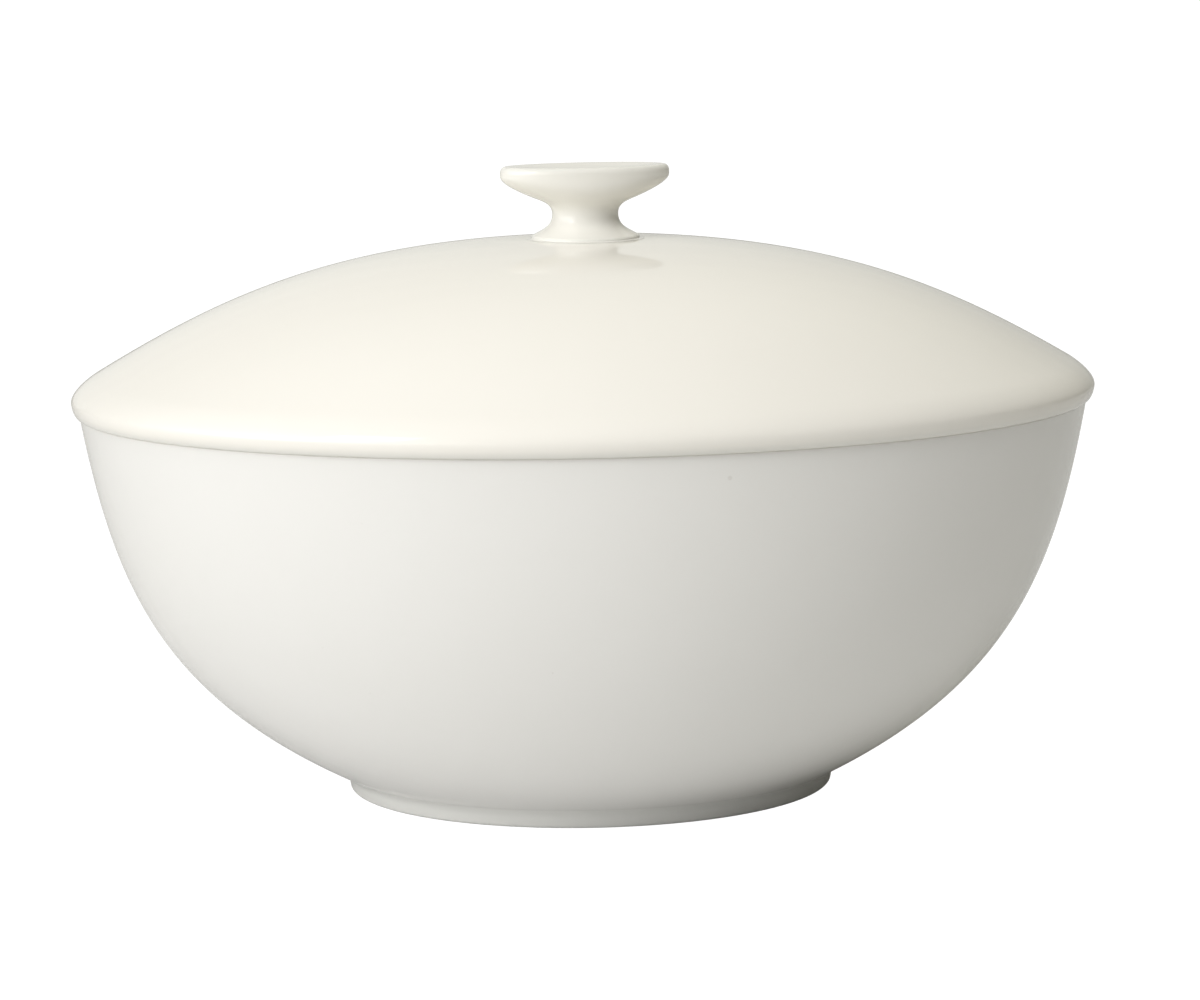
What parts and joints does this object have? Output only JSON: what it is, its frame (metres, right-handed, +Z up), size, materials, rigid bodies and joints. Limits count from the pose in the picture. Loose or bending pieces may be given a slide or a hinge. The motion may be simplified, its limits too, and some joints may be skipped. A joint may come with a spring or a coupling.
{
  "type": "covered casserole dish",
  "caption": "Oval footed ceramic serving bowl with a domed lift-off lid and an oval dished knob.",
  "frame": {"origin": "centre of the foot's underside, on the surface the dish stands on", "axes": "+X along the oval, +Y across it, +Z up through the knob"},
  "size_m": [0.2884, 0.2372, 0.1748],
  "materials": {
    "bowl_glaze": "glossy white glaze",
    "lid_glaze": "glossy cream glaze",
    "knob_glaze": "glossy cream glaze"
  },
  "bodies": {
    "dish": {"bowl": "bowl_glaze"},
    "cover": {"lid": "lid_glaze", "knob": "knob_glaze"}
  },
  "joints": [
    {"name": "lid_lift", "type": "slide", "parent": "dish", "child": "cover", "axis": [0, 0, 1], "range_m": [0, 0.12]}
  ]
}
